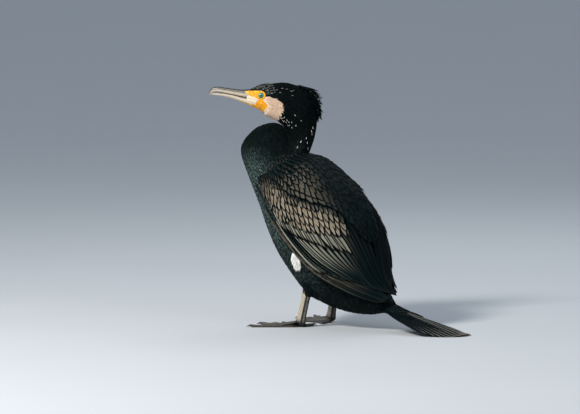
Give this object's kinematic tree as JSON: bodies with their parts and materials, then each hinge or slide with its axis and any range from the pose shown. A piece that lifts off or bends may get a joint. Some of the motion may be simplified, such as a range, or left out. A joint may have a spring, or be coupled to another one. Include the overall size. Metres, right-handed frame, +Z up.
{
  "type": "cormorant model",
  "caption": "Great cormorant standing upright with folded wings, hooked bill, webbed feet and a stiff tail, as a still life-size museum model.",
  "frame": {"origin": "on the floor, under the middle of the bird's box, in the mid plane of its body", "axes": "+Z up, the breast faces -Y, the bird's left is +X"},
  "size_m": [0.1946, 0.4578, 0.4027],
  "materials": {
    "plumage": "close black feathers with a green-blue gloss",
    "wing": "bronze-brown feathers with black edges",
    "tail": "stiff blackish feathers with pale shafts",
    "horn": "satin horn, dark along the ridge",
    "eye": "clear, wet",
    "leg": "scaled skin, satin",
    "foot": "scaled and webbed skin, satin",
    "claw": "smooth horn"
  },
  "bodies": {
    "root": {"head": "plumage", "neck_upper": "plumage", "neck_lower": "plumage", "torso": "plumage", "thigh_left": "plumage", "thigh_right": "plumage", "wing_left": "wing", "wing_right": "wing", "tail": "tail", "bill_upper": "horn", "bill_lower": "horn", "eye_left": "eye", "eye_right": "eye", "tarsus_left": "leg", "tarsus_right": "leg", "foot_left": "foot", "foot_right": "foot", "claw_left_hind": "claw", "claw_left_inner": "claw", "claw_left_middle": "claw", "claw_left_outer": "claw", "claw_right_hind": "claw", "claw_right_inner": "claw", "claw_right_middle": "claw", "claw_right_outer": "claw"}
  },
  "joints": []
}
